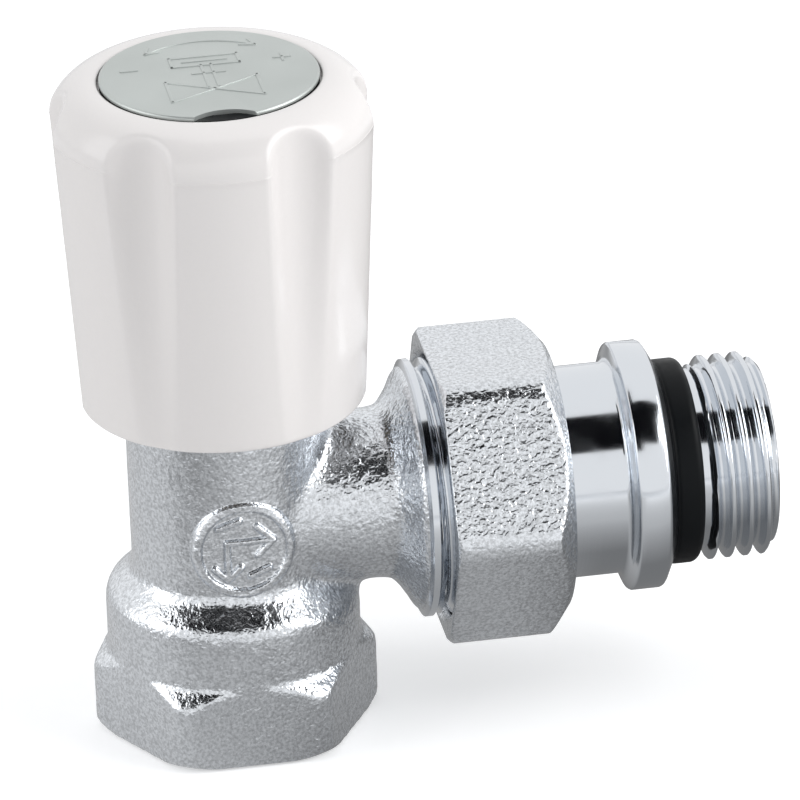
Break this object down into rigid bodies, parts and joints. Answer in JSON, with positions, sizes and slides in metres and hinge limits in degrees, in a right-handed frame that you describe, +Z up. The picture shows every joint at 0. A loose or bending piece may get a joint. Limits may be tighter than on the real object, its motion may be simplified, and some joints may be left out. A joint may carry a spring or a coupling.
{
  "type": "radiator valve",
  "caption": "Angle radiator valve with a fluted handwheel, threaded inlet below, and a side outlet with union nut and sealed threaded tailpiece.",
  "frame": {"origin": "centre of the inlet's mouth, on the body's lower face", "axes": "+Z up along the valve's stem axis, +X out of the outlet along the tailpiece's axis"},
  "size_m": [0.0716, 0.0332, 0.0712],
  "materials": {
    "cast_chrome": "bright chrome over a rough forged surface",
    "turned_chrome": "polished chrome over turned brass",
    "brass": "turned",
    "steel": "plain",
    "seal_rubber": "smooth moulded",
    "fluoropolymer": "waxy",
    "white_plastic": "moulded, glossy",
    "satin_disc": "satin"
  },
  "bodies": {
    "valve": {"valve_body": "cast_chrome", "bonnet": "brass", "bonnet_o_ring": "seal_rubber", "stem_o_rings": "seal_rubber", "gland_washer": "fluoropolymer", "gland_nut": "brass"},
    "obturator": {"obturator_disc": "brass", "seat_washer": "seal_rubber", "washer_screw": "brass", "obturator_clip": "steel"},
    "wheel": {"stem": "brass", "handwheel": "white_plastic", "handwheel_insert": "brass", "screw_washer": "steel", "handwheel_screw": "steel", "cover_disc": "satin_disc"},
    "ring": {"retaining_ring": "steel"},
    "nut": {"union_nut": "cast_chrome"},
    "tail": {"tailpiece": "turned_chrome", "union_o_ring": "seal_rubber", "radiator_seal": "seal_rubber"}
  },
  "joints": [
    {"name": "obturator_lift", "type": "slide", "parent": "valve", "child": "obturator", "axis": [0, 0, 1], "range_m": [0, 0.0045]},
    {"name": "handwheel_turn", "type": "hinge", "parent": "obturator", "child": "wheel", "pos_m": [0, 0, 0.05], "axis": [0, 0, 1], "range_deg": [0, 1080]},
    {"name": "union_nut_turn", "type": "hinge", "parent": "valve", "child": "ring", "pos_m": [0.03, 0, 0.02313], "axis": [1, 0, 0], "range_deg": [0, 1080]},
    {"name": "union_nut_travel", "type": "slide", "parent": "ring", "child": "nut", "axis": [1, 0, 0], "range_m": [0, 0.00544]},
    {"name": "tail_swivel", "type": "hinge", "parent": "valve", "child": "tail", "pos_m": [0.03, 0, 0.02313], "axis": [1, 0, 0], "continuous": true}
  ],
  "couplings": [
    {"joint": "handwheel_turn", "follows": "obturator_lift", "rad_per_m": 4188.8},
    {"joint": "union_nut_turn", "follows": "union_nut_travel", "rad_per_m": 3463.7}
  ]
}
